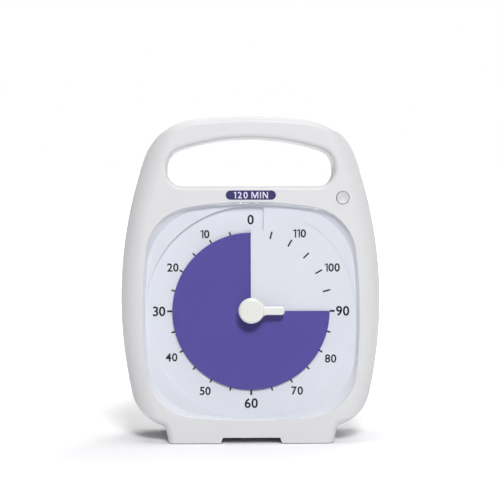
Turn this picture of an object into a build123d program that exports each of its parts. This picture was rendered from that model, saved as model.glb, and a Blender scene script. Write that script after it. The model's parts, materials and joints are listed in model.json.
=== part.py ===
import os
from math import atan2, cos, degrees, hypot, pi, radians, sin, sqrt, tan

from build123d import *

os.makedirs("parts", exist_ok=True)

# A visual countdown timer on a desk base with a carrying handle. All sizes are in millimetres.
# Pieces are drawn in the dial's own frame: X to the right, Y up the face, Z out towards the user,
# with zero at the dial's centre on the front face. They are then leaned back and stood on the desk.

# Dial, which the rest of the body is drawn round
disc_radius = 42.2
disc_thickness = 0.3
disc_fit = 0.25
scale_band = 14.3
slit_gap = 1.8
ramp_radius = disc_radius + scale_band
slit_radius = disc_radius + slit_gap
floor_depth = 4.6
ramp_pitch = 2.4
plate_thickness = 0.8
plate_hole_radius = 7.0
bevel_gap = 0.2
bevel_corner = 34.0
ring_wall = 1.6
pocket_width = 7.0
pocket_margin = 0.4

# Dial opening and lens
opening_side_gap = 1.2
opening_end_gap = 1.7
opening_half_width = ramp_radius + opening_side_gap
opening_half_height = ramp_radius + opening_end_gap
opening_side_radius = 300.0
opening_top_radius = 200.0
opening_bottom_radius = 320.0
opening_corner = 26.5
lip_round = 0.7
lip_depth = 0.9
lens_face_depth = 0.25
lens_face_gap = 0.12
lens_face_round = 0.5
lens_lap = 1.5
lens_thickness = 1.4
lens_fit = 0.15
lens_hole_fit = 0.5
plate_lap = 2.0
seat_gap = 0.1

# Body round the opening
side_border = 12.15
chin = 7.8
brow = 8.9
grip_height = 26.0
handle_thickness = 11.7
handle_side = 24.95
base_height = 4.9
body_width = 2 * (opening_half_width + side_border)
belly_bottom = -opening_half_height - chin
grip_bottom = opening_half_height + brow
grip_top = grip_bottom + grip_height
grip_half_width = body_width / 2 - handle_side
handle_top = grip_top + handle_thickness
dial_height = base_height - belly_bottom
face_lean = 7.0
rear_lean = 2.0
wall = 2.2

# Arcs of the body's outline and of the finger hole
side_radius = 228.0
side_apex = 8.0
arch_radius = 270.0
shoulder_radius = 32.0
belly_radius = 230.0
belly_corner = 25.0
grip_arch = 123.0
grip_upper_corner = 10.0
grip_lower_corner = 9.0
grip_tilt = 2.5

# Rolled sides of the front, and rounded edges
roll_radius = 11.0
front_round = 3.5
rear_round = 4.5
grip_round = 2.4

# Base with its two feet
foot_inset = 23.25
foot_draft = 2.6
foot_overlap = 8.0
foot_blend = 4.0
foot_top_half = body_width / 2 - foot_inset
foot_bottom_half = foot_top_half - foot_draft
foot_top = belly_bottom + foot_overlap
notch_half_width = 15.3
notch_height = 2.9
notch_draft = 1.2
pad_proud = 0.4
pad_length = 20.0
pad_width = 6.0
pad_thickness = 1.6
pad_side_inset = 14.0
pad_end_inset = 6.4

# Hub, arbor and set knob with its pointer
hub_radius = 6.0
hub_clearance = 0.5
key_height = 0.6
key_width = 1.2
arbor_radius = 1.5
arbor_fit = 0.03
bearing_fit = 0.05
knob_radius = 6.87
knob_height = 5.6
knob_gap = 0.5
knob_stem_radius = 3.5
knob_round = 1.6
knob_cover = 1.6
pointer_length = 17.7
pointer_half_width = 2.26
pointer_height = 3.6
pointer_fillet = 3.2
pointer_tip = 1.6
pointer_round = 0.8

# Gear train of the movement
gear_module = 0.5
gear_width = 1.5
centre_teeth = 48
pinion_teeth = 12
wheel_teeth = 40
rotor_teeth = 10
gear_backlash = 0.12
pivot_radius = 0.6
train_angle = 55.0
rotor_angle = -50.0
clutch_radius = 3.6
clutch_thickness = 0.4
train_distance = gear_module * (centre_teeth + pinion_teeth) / 2
rotor_distance = gear_module * (wheel_teeth + rotor_teeth) / 2
train_x = train_distance * cos(radians(train_angle))
train_y = train_distance * sin(radians(train_angle))
rotor_x = train_x + rotor_distance * cos(radians(rotor_angle))
rotor_y = train_y + rotor_distance * sin(radians(rotor_angle))

# Motor: magnet, stator and coil
magnet_radius = 3.2
magnet_length = 3.0
magnet_gap = 0.5
stator_thickness = 1.0
stator_leg = 1.8
stator_yoke = 6.0
coil_radius = 2.8
coil_flange = 3.2
coil_half_length = 9.5
coil_x = -1.0
pin_radius = 0.35
core_half_width = 1.2
stator_right = rotor_x + magnet_radius + magnet_gap + stator_leg

# Movement's case and its ears
parting_depth = 12.0
case_gap = 0.55
case_depth = 15.6
case_wall = 1.2
case_corner = 4.0
stator_clearance = 1.66
case_half = stator_right + stator_clearance + case_wall
coil_y = 7.0 - case_half
ear_gap = 9.0
ear_reach = case_half + ear_gap
ear_radius = 4.0
ear_thickness = 1.6
post_radius = 3.2

# Circuit board, on four stand-offs of the case
standoff_radius = 2.4
standoff_side_inset = 5.0
standoff_end_inset = 7.0
standoff_x = case_half - standoff_side_inset
standoff_y = case_half - standoff_end_inset
board_side = 10.0
board_end = 4.0
board_width = 2 * (standoff_x + board_side)
board_height = 2 * (standoff_y + board_end)
board_thickness = 1.6
board_standoff = 2.6
connector_pins = (-23.5, -21.0, -18.5)
connector_y = -5.0
rear_room = 11.473

# Push button at the upper right, with its switch
button_inset = 20.45
button_drop = 6.45
button_x = body_width / 2 - button_inset
button_y = grip_bottom - button_drop
button_radius = 3.4
button_gap = 0.25
button_proud = 0.25
button_travel = 0.6
button_flange = 4.9
button_flange_thickness = 0.9
button_stem = 1.0
button_stem_inset = 0.2
switch_size = 6.0
switch_height = 3.4
switch_plunger_radius = 1.7
switch_plunger_length = 2.2
switch_board_width = 15.0
switch_board_height = 9.0
switch_post_radius = 1.4
switch_post_gap = 1.5
button_dish_radius = 20.0
button_dish = 0.25

# Label recess between the handle and the dial
label_width = 27.0
label_height = 5.05
label_thickness = 0.5
label_fit = 0.05
label_drop = 5.0
label_y = grip_bottom - label_drop

# Battery bay in the back, with its door
battery_radius = 7.1
battery_length = 49.2
battery_nub_radius = 2.7
battery_nub_length = 1.3
bay_height = 33.0
bay_half_length = 29.4
bay_half_width = 8.6
bay_depth = 17.6
bay_wall = 1.6
door_half_length = 34.0
door_half_width = 11.6
door_thickness = 2.4
door_fit = 0.25
door_ledge = 2.2
door_pin_radius = 0.8
door_pin_length = 1.6
door_pin_fit = 0.06
contact_thickness = 0.4
contact_half_width = 6.0
contact_tab = 2.0
tab_length = 2.0
spring_wire = 0.4
spring_turns = 3
spring_wide = 4.6
spring_narrow = 2.6

# Sounder and volume wheel in the back
sounder_radius = 14.0
sounder_thickness = 4.5
sounder_rise = 40.4
sounder_ring = 1.4
sounder_height = dial_height + sounder_rise
grille_hole_radius = 0.8
grille_pitch = 3.4
volume_inset = 27.85
volume_rise = 24.4
volume_x = body_width / 2 - volume_inset
volume_height = dial_height + volume_rise
volume_radius = 8.5
volume_thickness = 3.2
volume_proud = 1.8
volume_slot_fit = 0.5
volume_ribs = 24
pot_size = 11.0
pot_thickness = 4.0
pot_gap = 0.4

# Screws
boss_radius = 3.2
handle_boss_radius = 2.9
well_wall = 1.2
well_fit = 0.2
post_inset = 11.6
clamp_radius = 2.5
upper_screw_inset = 11.45
upper_screw_drop = 6.5
lower_screw_inset = 7.15
lower_screw_y = -20.0
screw_radius = 1.4
screw_head_radius = 2.5
screw_head_height = 1.8
screw_fit = 0.05
screw_grip = 6.0
screw_web = 2.0
small_screw_radius = 0.9
small_head_radius = 1.8
small_head_height = 1.2
small_screw_grip = 2.2
small_bore_fit = 0.15
ear_screw_grip = 1.4

# Leads
lead_radius = 0.55
lead_edge = board_width / 2 + 3.5
lead_end = 3.5
lead_spread = 2.6
board_lead_level = -32.0
switch_pin = 2.8
sounder_lead_drop = 8.0

# Levels that follow from the sizes above, measured out from the front face
lens_front = -lip_depth
lens_back = lens_front - lens_thickness
floor_level = -floor_depth
ramp_bottom = floor_level - ramp_pitch
disc_lowest = floor_level - 1.5 * ramp_pitch - disc_thickness / 2
case_front = disc_lowest - case_gap
case_rear = case_front - case_depth
board_front = case_rear - board_standoff
board_rear = board_front - board_thickness
hub_bottom = case_front + disc_fit
hub_top = lens_back - hub_clearance
knob_bottom = knob_gap - lens_face_depth
parting = -parting_depth
body_depth = rear_room - board_rear

# Where the frames are: the base is as deep as the leaning face, the movement and the back ask for
lean = radians(face_lean)
back_lean = radians(rear_lean)
centre_above_back = dial_height * cos(lean) - body_depth * sin(lean)
base_depth = dial_height * sin(lean) + body_depth * cos(lean) + centre_above_back * tan(back_lean)
dial_place = Location(
    (0, dial_height * sin(lean) - base_depth / 2, dial_height * cos(lean)), (90 - face_lean, 0, 0)
)
rear_place = dial_place.inverse() * Location((0, base_depth / 2, 0), (90 + rear_lean, 0, 0))
desk_place = dial_place.inverse()
far = 300.0


def slab(sketch, low, high):
    return Pos(0, 0, low) * extrude(sketch, high - low)


def rod(radius, low, high, x=0.0, y=0.0):
    return Pos(x, y, low) * extrude(Circle(radius), high - low)


def block(x_low, x_high, y_low, y_high, z_low, z_high):
    size = (x_high - x_low, y_high - y_low, z_high - z_low)
    middle = ((x_low + x_high) / 2, (y_low + y_high) / 2, (z_low + z_high) / 2)
    return Pos(*middle) * Box(*size)


def inner_corner(centre_a, radius_a, centre_b, radius_b):
    """The meeting point, on the right, of two circles."""
    dx, dy = centre_b[0] - centre_a[0], centre_b[1] - centre_a[1]
    gap = hypot(dx, dy)
    along = (radius_a**2 - radius_b**2 + gap**2) / (2 * gap)
    across = sqrt(radius_a**2 - along**2)
    foot_x, foot_y = centre_a[0] + along * dx / gap, centre_a[1] + along * dy / gap
    points = [(foot_x + s * across * dy / gap, foot_y - s * across * dx / gap) for s in (1, -1)]
    return max(points)


def arc_on(centre, radius, start, end):
    """The short arc from one direction to another, both in degrees."""
    return CenterArc(centre, radius, start, end - start)


def rounded_outline(half_width, apex, side, top, top_bow, top_corner, bottom, bottom_bow, bottom_corner):
    """A closed face of eight tangent arcs: bowed sides, top and bottom, and round corners."""
    side_centre = (half_width - side, apex)
    edges = []
    for bow_centre, bow, corner in (
        ((0, top - top_bow), top_bow, top_corner),
        ((0, bottom + bottom_bow), bottom_bow, bottom_corner),
    ):
        centre = inner_corner(side_centre, side - corner, bow_centre, bow - corner)
        on_side = degrees(atan2(centre[1] - side_centre[1], centre[0] - side_centre[0]))
        on_bow = degrees(atan2(centre[1] - bow_centre[1], centre[0] - bow_centre[0]))
        edges.append(arc_on(side_centre, side, 0, on_side))
        edges.append(arc_on(centre, corner, on_side, on_bow))
        edges.append(arc_on(bow_centre, bow, on_bow, 90 if on_bow > 0 else -90))
    half = Curve() + edges
    return make_face(Curve() + edges + mirror(half, Plane.YZ).edges())


def body_outline(inset=0.0):
    return rounded_outline(
        body_width / 2 - inset,
        side_apex,
        side_radius - inset,
        handle_top - inset,
        arch_radius - inset,
        shoulder_radius - inset,
        belly_bottom + inset,
        belly_radius - inset,
        belly_corner - inset,
    )


def opening_outline(grow=0.0):
    return rounded_outline(
        opening_half_width + grow,
        0,
        opening_side_radius + grow,
        opening_half_height + grow,
        opening_top_radius + grow,
        opening_corner + grow,
        -opening_half_height - grow,
        opening_bottom_radius + grow,
        opening_corner + grow,
    )


def bevel_foot():
    """Where the dial's sloping rim meets its floor: just round the ramp, and well inside the corners."""
    half = ramp_radius + bevel_gap
    return rounded_outline(
        half,
        0,
        opening_side_radius,
        half,
        opening_top_radius,
        bevel_corner,
        -half,
        opening_bottom_radius,
        bevel_corner,
    )


def grip_outline(grow=0.0):
    """The finger hole: flat below, arched above."""
    half, low, high = grip_half_width + grow, grip_bottom - grow, grip_top + grow
    arch = grip_arch + grow
    side = high - low - arch + sqrt(arch**2 - half**2)
    shape = Pos(0, (low + high) / 2) * Rectangle(2 * half, high - low)
    shape = shape & (Pos(0, high - arch) * Circle(arch))
    corners = shape.vertices().sort_by(Axis.Y)
    shape = fillet(corners[:2], min(grip_lower_corner + grow, side / 2))
    return fillet(shape.vertices().sort_by(Axis.Y)[-2:], min(grip_upper_corner + grow, 0.65 * side))


def grip_space(low, high, grow=0.0):
    """The finger hole between two levels; it runs back nearly level, so it is tilted on the leaning face."""
    middle = (grip_bottom + grip_top) / 2
    tilt = Pos(0, middle, 0) * Rot(grip_tilt, 0, 0) * Pos(0, -middle, 0)
    return tilt * slab(grip_outline(grow), low, high)


def rolled(inset=0.0):
    """The space behind the front face between the two bowed sides, whose front edges roll back."""
    half_width, side = body_width / 2 - inset, side_radius - inset
    bow = Pos(half_width - side, side_apex) * Circle(side)
    profile = bow & mirror(bow, Plane.YZ)
    space = slab(profile, -far / 2, -inset)
    return fillet(space.faces().sort_by(Axis.Z)[-1].edges(), roll_radius - inset)


def before_rear(inset=0.0):
    return rear_place * block(-far, far, -far, far, inset, far)


def above_desk(height):
    return desk_place * block(-far, far, -far, far, height, far)


def helicoid(inner, outer, start_angle, start_level, thickness):
    """One turn of a spiral ramp, thick downwards from its upper face."""
    rim = Helix(ramp_pitch, ramp_pitch, outer)
    bore = Helix(ramp_pitch, ramp_pitch, inner)
    ramp = Face.make_surface_from_curves(bore.edge(), rim.edge())
    turned = Pos(0, 0, start_level) * Rot(0, 0, start_angle) * ramp
    return Solid.extrude(turned, Vector(0, 0, -thickness))


def ramp_level(angle):
    """Height of the dial's surface, by degrees round from twelve o'clock towards nine."""
    return floor_level - ramp_pitch * (1 - angle / 360)


def gear(teeth, low, high, bore, phase=0.0):
    """A spur wheel with straight-flanked teeth, thinned a little to run free."""
    pitch_radius = gear_module * teeth / 2
    root, tip = pitch_radius - 1.1 * gear_module, pitch_radius + 0.85 * gear_module
    half_root = 0.36 * 360 / teeth
    half_tip = 0.14 * 360 / teeth
    slack = degrees(gear_backlash / 2 / pitch_radius)
    points = []
    for index in range(teeth):
        middle = phase + index * 360 / teeth
        for radius, offset in (
            (root, -half_root + slack),
            (tip, -half_tip + slack),
            (tip, half_tip - slack),
            (root, half_root - slack),
        ):
            turn = radians(middle + offset)
            points.append((radius * cos(turn), radius * sin(turn)))
    return slab(make_face(Polyline(*points, close=True)) - Circle(bore), low, high)


def screw(x, y, head_level, radius, head_radius, head_height, length, facing=1):
    """A pan-head screw whose head stands on head_level; facing 1 points the head outwards."""
    head = rod(head_radius, 0, head_height)
    head = fillet(head.edges().filter_by(GeomType.CIRCLE).sort_by(Axis.Z)[-1], head_height * 0.4)
    slot = Pos(0, 0, head_height) * (Box(head_radius * 1.1, 0.5, 1.0) + Box(0.5, head_radius * 1.1, 1.0))
    whole = head - slot + rod(radius, -length, 0)
    return Pos(x, y, head_level) * (whole if facing > 0 else Rot(180, 0, 0) * whole)


def lead(points):
    """An insulated wire along straight runs joined by arcs, as large as the runs allow."""
    runs = [(Vector(*b) - Vector(*a)) for a, b in zip(points, points[1:])]
    radii = [
        0.45 * min(a.length, b.length) / tan(radians(a.get_angle(b)) / 2) for a, b in zip(runs, runs[1:])
    ]
    radii = [min(r, 12.0) for r in radii]
    path = FilletPolyline(*points, radius=radii)
    return sweep(Plane(path @ 0, z_dir=path % 0) * Circle(lead_radius), path)


# Housing: two moulded shells that meet behind the dial


def front_outline():
    """The body and its base in one outline, blended where they meet."""
    return offset(offset(body_outline() + base_profile(), foot_blend), -foot_blend)


def base_profile():
    """The front view of the base, whose sides draw in a little towards the desk."""
    reach = 2 * dial_height
    return make_face(
        Polyline(
            (-foot_top_half, foot_top),
            (foot_top_half, foot_top),
            (foot_bottom_half, -dial_height),
            (foot_bottom_half, -reach),
            (-foot_bottom_half, -reach),
            (-foot_bottom_half, -dial_height),
            close=True,
        )
    )


def notch():
    """The gap between the two feet, running from front to back along the desk."""
    top = notch_height + pad_proud
    shape = make_face(
        Polyline(
            (-notch_half_width - notch_draft, 0),
            (notch_half_width + notch_draft, 0),
            (notch_half_width, top),
            (-notch_half_width, top),
            close=True,
        )
    )
    return desk_place * Rot(90, 0, 0) * slab(shape, -far / 2, far / 2)


def hollow(low, high):
    """The space inside the shells between two levels, with a pocket in each foot."""
    room = slab(body_outline(wall), low, high) - grip_space(low - 5, high + 5, wall)
    room = room & above_desk(notch_height + pad_proud + wall)
    pocket = block(
        notch_half_width + notch_draft + wall, foot_bottom_half - wall, -dial_height, foot_top, low, high
    )
    pockets = (pocket + mirror(pocket, Plane.YZ)) & above_desk(pad_thickness + wall)
    return (room + pockets) & rolled(wall) & before_rear(wall)


def pad(x_side, y_side):
    """One of the four rubber pads, let into the feet and lying on the desk."""
    shape = slab(SlotOverall(pad_length, pad_width), 0, pad_thickness)
    x, y = foot_bottom_half - pad_side_inset, base_depth / 2 - pad_end_inset
    return desk_place * Pos(x_side * x, y_side * y, 0) * shape


def outer_face(shape, outward):
    """The largest flat face that looks the given way."""
    flat = [f for f in shape.faces().filter_by(GeomType.PLANE) if (f.normal_at() - outward).length < 0.01]
    return max(flat, key=lambda f: f.area)


def shell(low, high, outward, rim_round):
    """One half of the body before it is hollowed, with its rim and finger hole rounded."""
    shape = slab(front_outline(), low, high) & before_rear()
    shape = fillet(outer_face(shape, outward).outer_wire().edges(), rim_round)
    shape = shape - grip_space(low - 5, high + 5)
    shape = fillet(outer_face(shape, outward).inner_wires()[0].edges(), grip_round)
    return (shape & rolled() & above_desk(pad_proud)) - notch()


def screw_places():
    """The five housing screws: one in the handle, two beside it and two beside the dial."""
    upper = body_width / 2 - upper_screw_inset
    lower = body_width / 2 - lower_screw_inset
    places = [(0.0, (handle_top + grip_top) / 2)]
    for side in (1, -1):
        places += [(side * upper, opening_half_height - upper_screw_drop), (side * lower, lower_screw_y)]
    return places


def make_front_housing():
    shape = shell(parting, 0, Vector(0, 0, 1), front_round) - hollow(parting, 0)
    posts = [rod(boss_radius if x else handle_boss_radius, parting, 0, x, y) for x, y in screw_places()]
    posts += [rod(switch_post_radius, switch_front, 0, x, button_y) for x in switch_post_x]
    shape = shape + [post & rolled(wall / 2) for post in posts]
    shape = shape - slab(opening_outline(), -floor_depth, 1)
    shape = fillet(
        [e for e in shape.edges() if abs(e.center().Z) < 0.01 and on_opening(e)], lip_round
    )
    shape = shape - slab(opening_outline(lens_lap + lens_fit), -floor_depth, lens_front)
    shape = shape - slab(opening_outline(plate_lap + lens_fit), -floor_depth, lens_back - seat_gap)
    for x, y in screw_places():
        shape = shape - rod(screw_radius + screw_fit, parting - 1, parting + screw_grip, x, y)
    for x in switch_post_x:
        top = switch_front + small_screw_grip
        shape = shape - rod(small_screw_radius + screw_fit, switch_front - 1, top, x, button_y)
    shape = shape - rod(button_radius + button_gap, parting, 1, button_x, button_y)
    shape = shape - Pos(0, label_y, -label_thickness) * extrude(SlotOverall(label_width, label_height), 1)
    return shape - [pad(side, -1) for side in (-1, 1)]


def on_opening(edge):
    """True for an edge of the dial opening's outline."""
    place = edge.center()
    return abs(place.X) < opening_half_width + 1 and abs(place.Y) < opening_half_height + 1


def make_rear_housing():
    rear_way = (rear_place * Pos(0, 0, -1)).position - rear_place.position
    shape = shell(-far / 4, parting, rear_way, rear_round) - hollow(-far / 4, parting)
    seat = parting - screw_web
    well_radius = screw_head_radius + well_fit
    posts = [rod(well_radius + well_wall, -far / 4, parting, x, y) for x, y in screw_places()]
    clamp_level = floor_level - plate_thickness - seat_gap
    posts += [
        rod(clamp_radius, -far / 4, clamp_level, x, y)
        for x in (-opening_half_width + post_inset, opening_half_width - post_inset)
        for y in (-opening_half_height + post_inset, opening_half_height - post_inset)
    ]
    inside = slab(body_outline(wall / 2), -far / 4, 0) & before_rear(wall / 2) & above_desk(pad_proud + wall)
    shape = shape + [post & inside for post in posts]
    tray = block(
        -bay_half_length - bay_wall, bay_half_length + bay_wall,
        bay_height - bay_half_width - bay_wall, bay_height + bay_half_width + bay_wall,
        wall / 2, bay_depth + bay_wall,
    )
    rim_x = door_half_length + door_fit + door_ledge
    rim_y = door_half_width + door_fit + door_ledge
    ledge_top = door_thickness + door_ledge
    ledge = block(-rim_x, rim_x, bay_height - rim_y, bay_height + rim_y, wall / 2, ledge_top)
    ring_radius = sounder_radius + seat_gap
    ring = rod(ring_radius + sounder_ring, wall / 2, wall + sounder_thickness / 2, 0, sounder_height) - rod(
        ring_radius, 0, far, 0, sounder_height
    )
    shape = shape + rear_place * tray + rear_place * ledge + rear_place * ring
    for x, y in screw_places():
        shape = shape - rod(well_radius, -far / 4, seat, x, y)
        shape = shape - rod(screw_radius + well_fit, -far / 4, parting + 1, x, y)
    shape = shape - rear_place * bay_room() - [rear_place * hole for hole in grille_holes()]
    shape = shape - rear_place * volume_slot()
    return shape - [pad(side, 1) for side in (-1, 1)]


def door_hinge():
    """Height and depth of the battery door's pivot, in the back's frame."""
    return bay_height - door_half_width + door_thickness / 2, door_thickness / 2


def bay_room():
    """What is cut out of the back for the battery, its contacts and its door."""
    recess_x, recess_y = door_half_length + door_fit, door_half_width + door_fit
    recess_z = door_thickness + door_pin_fit
    recess = block(-recess_x, recess_x, bay_height - recess_y, bay_height + recess_y, -1, recess_z)
    low, high = bay_height - bay_half_width, bay_height + bay_half_width
    room = block(-bay_half_length, bay_half_length, low, high, -1, bay_depth)
    slot_y = contact_tab + seat_gap
    slot_x = bay_half_length - contact_thickness - 2 * seat_gap
    low, high = bay_height - slot_y, bay_height + slot_y
    slot = block(slot_x, bay_half_length, low, high, bay_depth - 1, bay_depth + bay_wall + 1)
    pin_y, pin_z = door_hinge()
    pin_reach = door_half_length + door_pin_length + door_fit
    socket = Pos(0, pin_y, pin_z) * Rot(0, 90, 0) * rod(door_pin_radius + door_pin_fit, -pin_reach, pin_reach)
    return recess + room + slot + mirror(slot, Plane.YZ) + socket


def grille_holes():
    """Sound holes on two rings round a middle one."""
    holes = [rod(grille_hole_radius, -1, wall + 1, 0, sounder_height)]
    for ring in (1, 2):
        for index in range(6 * ring):
            turn = index * 2 * pi / (6 * ring)
            x, y = ring * grille_pitch * cos(turn), sounder_height + ring * grille_pitch * sin(turn)
            holes.append(rod(grille_hole_radius, -1, wall + 1, x, y))
    return holes


def volume_slot():
    """The slot that the volume wheel's rim comes through."""
    half = sqrt(volume_radius**2 - (volume_radius - volume_proud - wall) ** 2) + volume_slot_fit
    rise = volume_thickness / 2 + volume_slot_fit
    low, high = volume_height - rise, volume_height + rise
    return block(volume_x - half, volume_x + half, low, high, -1, wall + seat_gap)


# Dial, lens and label


def make_lens():
    panel = slab(opening_outline(lens_lap), lens_back, lens_front)
    face = slab(opening_outline(-lens_face_gap), lens_front, -lens_face_depth)
    face = fillet(face.faces().sort_by(Axis.Z)[-1].edges(), lens_face_round)
    return panel + face - rod(knob_stem_radius + lens_hole_fit, lens_back - 1, 1)


def make_dial_plate():
    """A rim and flat corners round a one-turn spiral ramp, slit from the centre at twelve o'clock."""
    rim_top = lens_back - seat_gap
    bevel = loft([Pos(0, 0, floor_level) * bevel_foot(), Pos(0, 0, rim_top) * opening_outline()])
    rim = slab(opening_outline(plate_lap), floor_level, rim_top) - bevel
    underside = floor_level - plate_thickness
    inside = rod(ramp_radius, -far, 0)
    ring = rod(ramp_radius + ring_wall, ramp_bottom - plate_thickness, floor_level) - inside
    flange = slab(opening_outline(plate_lap), underside, floor_level) - inside
    ramp = helicoid(plate_hole_radius, ramp_radius + ring_wall / 2, 90, ramp_bottom, plate_thickness)
    pocket_outer = ramp_radius + ring_wall / 2
    band = Circle(pocket_outer) - Circle(slit_radius)
    step = band & Pos(pocket_width / 2, ramp_radius) * Rectangle(pocket_width, ramp_radius)
    ramp = ramp - slab(step, underside - pocket_margin, floor_level + pocket_margin)
    walled_width = pocket_width + plate_thickness
    walled = Circle(pocket_outer) - Circle(slit_radius - plate_thickness)
    walled = walled & Pos(walled_width / 2, ramp_radius) * Rectangle(walled_width, ramp_radius)
    box = slab(walled, ramp_bottom - plate_thickness, floor_level - seat_gap)
    box = box - slab(step, ramp_bottom, floor_level + 1)
    posts = []
    for x, y in ear_places():
        level = ramp_level((degrees(atan2(y, x)) - 90) % 360) - plate_thickness / 2
        posts.append(rod(post_radius, case_front, level, x, y))
    shape = flange + rim + ring + ramp + box + posts
    bore = small_screw_radius + screw_fit
    return shape - [rod(bore, case_front - 1, case_front + ear_screw_grip, x, y) for x, y in ear_places()]


def make_label():
    shape = SlotOverall(label_width - 2 * label_fit, label_height - 2 * label_fit)
    return Pos(0, label_y) * slab(shape, -label_thickness, 0)


def make_colour_disc():
    """One turn of thin sheet on the dial's own pitch; its visible end lies at ninety minutes."""
    top = floor_level - 0.75 * ramp_pitch + disc_thickness / 2
    reach, half = hub_radius + key_height + disc_fit, key_width / 2 + disc_fit
    return helicoid(hub_radius + disc_fit, disc_radius, 0, top, disc_thickness) - block(
        -half, half, -reach, reach, -far, 0
    )


def make_disc_hub():
    """The hub, with two keys that the disc slides along as it turns."""
    reach, half = hub_radius + key_height, key_width / 2
    keys = block(-half, half, -reach, reach, hub_bottom, hub_top)
    return rod(hub_radius, hub_bottom, hub_top) + keys - rod(arbor_radius + arbor_fit, -far, 0)


def make_set_knob():
    """A round knob with a pointer to the right, at ninety minutes."""
    bar = Pos(pointer_length / 2, 0) * Rectangle(pointer_length, 2 * pointer_half_width)
    plan = Circle(knob_radius) + bar
    waist = [v for v in plan.vertices() if 0 < v.X < knob_radius]
    plan = fillet(waist, pointer_fillet)
    tip = plan.vertices().sort_by(Axis.X)[-2:]
    plan = fillet(tip, pointer_tip)
    arm = slab(plan, knob_bottom, pointer_height)
    arm = fillet(arm.faces().sort_by(Axis.Z)[-1].edges(), pointer_round)
    cap = rod(knob_radius, knob_bottom, knob_height)
    cap = fillet(cap.faces().sort_by(Axis.Z)[-1].edges(), knob_round)
    stem = rod(knob_stem_radius, hub_top, knob_bottom)
    return arm + cap + stem - rod(arbor_radius + arbor_fit, -far, knob_height - knob_cover)


# Movement: a stepping motor and its wheels in a case behind the dial

arbor_top = knob_height - knob_cover
case_mid = case_front - case_depth / 2
lower_layer = case_rear + 4.5
upper_layer = lower_layer + gear_width + 1.2
magnet_low = upper_layer + gear_width + 0.9
stator_low = magnet_low + (magnet_length - stator_thickness) / 2
pivot_depth = case_wall * 0.6
pin_x = coil_x - coil_half_length
stator_left = 9.0 - case_half
stator_top = coil_y + 2 * stator_yoke


def ear_places():
    return [(x, y) for x in (-ear_reach, ear_reach) for y in (-ear_reach, ear_reach)]


def standoff_places():
    return [(x, y) for x in (-standoff_x, standoff_x) for y in (-standoff_y, standoff_y)]


def case_box(low, high, inset=0.0):
    side = 2 * (case_half - inset)
    return slab(RectangleRounded(side, side, case_corner - inset), low, high)


def bearings(low, high):
    """The holes that the train's pivots turn in, between two levels."""
    hole = pivot_radius + bearing_fit
    return [rod(hole, low, high, train_x, train_y), rod(hole, low, high, rotor_x, rotor_y)]


def make_movement_front():
    shape = case_box(case_mid, case_front) - case_box(case_mid, case_front - case_wall, case_wall)
    for x, y in ear_places():
        strap = Pos(x * 0.8, y * 0.8) * Rot(0, 0, degrees(atan2(y, x))) * Rectangle(
            0.4 * hypot(x, y), 2 * ear_radius
        )
        ear = slab(strap + Pos(x, y) * Circle(ear_radius), case_front - ear_thickness, case_front)
        shape = shape + (ear - case_box(-far, 0, case_wall))
        shape = shape - rod(small_screw_radius + small_bore_fit, -far, 0, x, y)
    for x, y in stator_posts():
        shape = shape + rod(1.4, stator_low + stator_thickness, case_front - case_wall / 2, x, y)
    shape = shape - rod(arbor_radius + bearing_fit, -far, 0)
    inner = case_front - case_wall
    return shape - bearings(inner - 1, inner + pivot_depth + 0.1)


def make_movement_rear():
    shape = case_box(case_rear, case_mid) - case_box(case_rear + case_wall, case_mid, case_wall)
    for x, y in standoff_places():
        post = rod(standoff_radius, board_front, case_rear, x, y)
        hole = rod(small_screw_radius + screw_fit, board_front - 1, board_front + small_screw_grip, x, y)
        shape = shape + post - hole
    shape = shape - rod(arbor_radius + bearing_fit, -far, 0)
    shape = shape - [rod(pin_radius + 0.2, case_rear - 1, case_mid, x, y) for x, y in coil_pin_places()]
    inner = case_rear + case_wall
    return shape - bearings(inner - pivot_depth - 0.1, inner + 1)


def make_arbor():
    """The steel centre shaft, with the collar that the clutch spring bears on."""
    collar_top = lower_layer - clutch_thickness
    return rod(arbor_radius, case_rear + 0.2, arbor_top) + rod(clutch_radius, collar_top - 0.8, collar_top)


def make_clutch_spring():
    ring = rod(clutch_radius, lower_layer - clutch_thickness, lower_layer - bearing_fit)
    return ring - rod(arbor_radius + bearing_fit, -far, 0)


def make_centre_wheel():
    wheel = gear(centre_teeth, lower_layer, lower_layer + gear_width, arbor_radius + bearing_fit, train_angle)
    window = rod(2.2, -far, 0, 7.0, 0)
    return wheel - [Rot(0, 0, 60 * index) * window for index in range(6)]


def make_train_wheel():
    """A wheel and its pinion in one, between the centre wheel and the rotor."""
    pinion = gear(
        pinion_teeth, lower_layer, upper_layer, pivot_radius / 2, train_angle + 180 + 180 / pinion_teeth
    )
    wheel = gear(wheel_teeth, upper_layer, upper_layer + gear_width, pivot_radius / 2, rotor_angle)
    return Pos(train_x, train_y) * (pinion + wheel + pivot_rod())


def make_rotor():
    """The rotor's pinion and pivot, which carry the magnet."""
    phase = rotor_angle + 180 + 180 / rotor_teeth
    pinion = gear(rotor_teeth, upper_layer, magnet_low, pivot_radius / 2, phase)
    return Pos(rotor_x, rotor_y) * (pinion + pivot_rod())


def pivot_rod():
    return rod(pivot_radius, case_rear + case_wall - pivot_depth, case_front - case_wall + pivot_depth)


def make_rotor_magnet():
    ring = rod(magnet_radius, magnet_low, magnet_low + magnet_length) - rod(pivot_radius + 0.02, -far, 0)
    return Pos(rotor_x, rotor_y) * ring


def stator_posts():
    return [(stator_left + 2.0, stator_top - 2.0), (rotor_x + magnet_radius, coil_y + 3.0)]


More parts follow.
